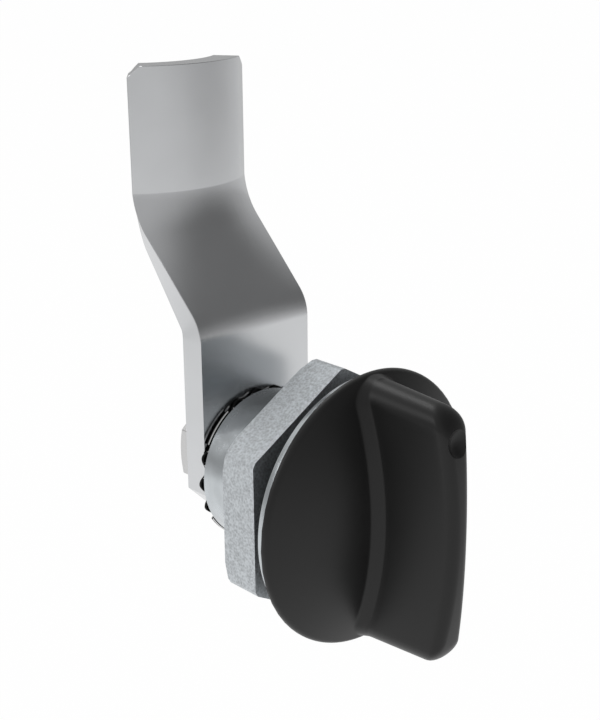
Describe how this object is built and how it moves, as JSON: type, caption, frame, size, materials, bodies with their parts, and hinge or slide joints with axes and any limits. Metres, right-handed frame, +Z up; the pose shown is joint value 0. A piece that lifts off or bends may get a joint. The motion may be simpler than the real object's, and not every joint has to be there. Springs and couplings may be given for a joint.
{
  "type": "quarter-turn cam latch",
  "caption": "Quarter-turn cam latch: black wing knob, threaded round housing with hexagon nut, and a cranked steel cam with a curved tongue that draws a panel shut.",
  "frame": {"origin": "on the latch axis, in the plane where the gasket meets the panel's front face", "axes": "+Y along the latch axis from the knob towards the cam, +Z up along the tongue, +X to the right seen from the knob's side"},
  "size_m": [0.0322, 0.0465, 0.0632],
  "materials": {
    "knob_plastic": "matt black moulded plastic",
    "cast_zinc": "bright die-cast zinc",
    "nut_steel": "speckled galvanised steel",
    "cam_steel": "smooth zinc-plated steel",
    "screw_steel": "bright zinc-plated steel",
    "spring_steel": "dark spring steel with bright cut edges",
    "spindle_steel": "turned steel",
    "seal_rubber": "black rubber"
  },
  "bodies": {
    "fixed_part": {"housing": "cast_zinc", "flange_gasket": "seal_rubber", "panel_nut": "nut_steel", "wave_washer": "spring_steel"},
    "turning_part": {"wing_knob": "knob_plastic", "spindle": "spindle_steel", "stop_pin": "spindle_steel", "spindle_o_ring": "seal_rubber", "cam": "cam_steel", "lock_washer": "screw_steel", "cam_screw": "screw_steel"}
  },
  "joints": [
    {"name": "quarter_turn", "type": "hinge", "parent": "fixed_part", "child": "turning_part", "pos_m": [0, 0, 0], "axis": [0, 1, 0], "range_deg": [0, 90]}
  ]
}
